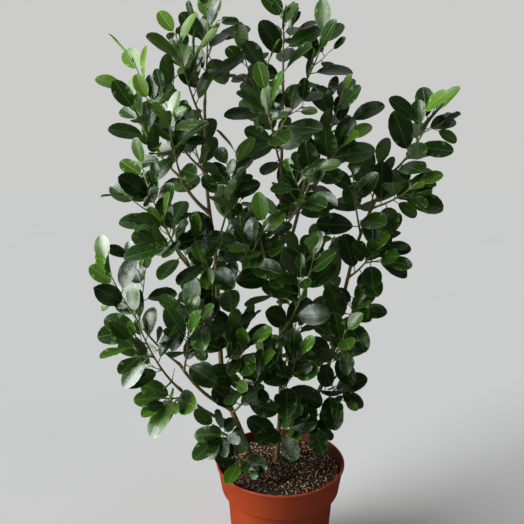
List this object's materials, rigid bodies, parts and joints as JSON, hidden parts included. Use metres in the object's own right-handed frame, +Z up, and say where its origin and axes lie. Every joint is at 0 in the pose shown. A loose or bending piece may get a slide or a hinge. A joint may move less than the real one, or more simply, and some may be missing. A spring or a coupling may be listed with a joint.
{
  "type": "potted laurel fig shrub",
  "caption": "Potted laurel fig shrub, stems trained as a loose flat fan of glossy round leaves, in a terracotta plastic pot",
  "frame": {"origin": "centre of the pot's flat underside, on the surface that the pot stands on", "axes": "+Z up along the pot's axis, +X to the right of the fan's face, +Y to its back"},
  "size_m": [0.5448, 0.2747, 0.919],
  "materials": {
    "terracotta_plastic": "satin",
    "potting_mix": "matte",
    "bark": "matte",
    "young_bark": "matte",
    "foliage": "satin"
  },
  "bodies": {
    "root": {"bough_left_low": "young_bark", "bough_left_middle": "young_bark", "bough_left_second": "young_bark", "bough_left_upper": "young_bark", "bough_middle_right": "young_bark", "foliage_back_left_1": "foliage", "foliage_back_left_2": "foliage", "foliage_back_left_3": "foliage", "foliage_back_left_4": "foliage", "foliage_back_middle_1": "foliage", "foliage_back_middle_2": "foliage", "foliage_back_middle_3": "foliage", "foliage_back_middle_4": "foliage", "foliage_back_right_1": "foliage", "foliage_back_right_2": "foliage", "foliage_back_right_3": "foliage", "foliage_centre_high": "foliage", "foliage_centre_left": "foliage", "foliage_centre_low": "foliage", "foliage_centre_mid": "foliage", "foliage_centre_right": "foliage", "foliage_fork_inner": "foliage", "foliage_fork_outer": "foliage", "foliage_left_cluster": "foliage", "foliage_left_foot": "foliage", "foliage_left_front": "foliage", "foliage_left_high": "foliage", "foliage_left_inner_foot": "foliage", "foliage_left_inner_high": "foliage", "foliage_left_inner_low": "foliage", "foliage_left_inner_mid": "foliage", "foliage_left_leader": "foliage", "foliage_left_root": "foliage", "foliage_left_top": "foliage", "foliage_low_inner": "foliage", "foliage_low_outer": "foliage", "foliage_mid_inner": "foliage", "foliage_mid_outer": "foliage", "foliage_middle_foot": "foliage", "foliage_middle_leader": "foliage", "foliage_middle_top_left": "foliage", "foliage_middle_top_right": "foliage", "foliage_right_foot": "foliage", "foliage_right_front": "foliage", "foliage_right_high": "foliage", "foliage_right_inner": "foliage", "foliage_right_low": "foliage", "foliage_right_lower": "foliage", "foliage_right_outer": "foliage", "foliage_right_side": "foliage", "foliage_second_low": "foliage", "foliage_second_outer": "foliage", "foliage_upper_inner": "foliage", "foliage_upper_outer": "foliage", "pot": "terracotta_plastic", "potting_mix": "potting_mix", "stem_left": "bark", "stem_middle": "bark", "stem_right": "bark"}
  },
  "joints": []
}
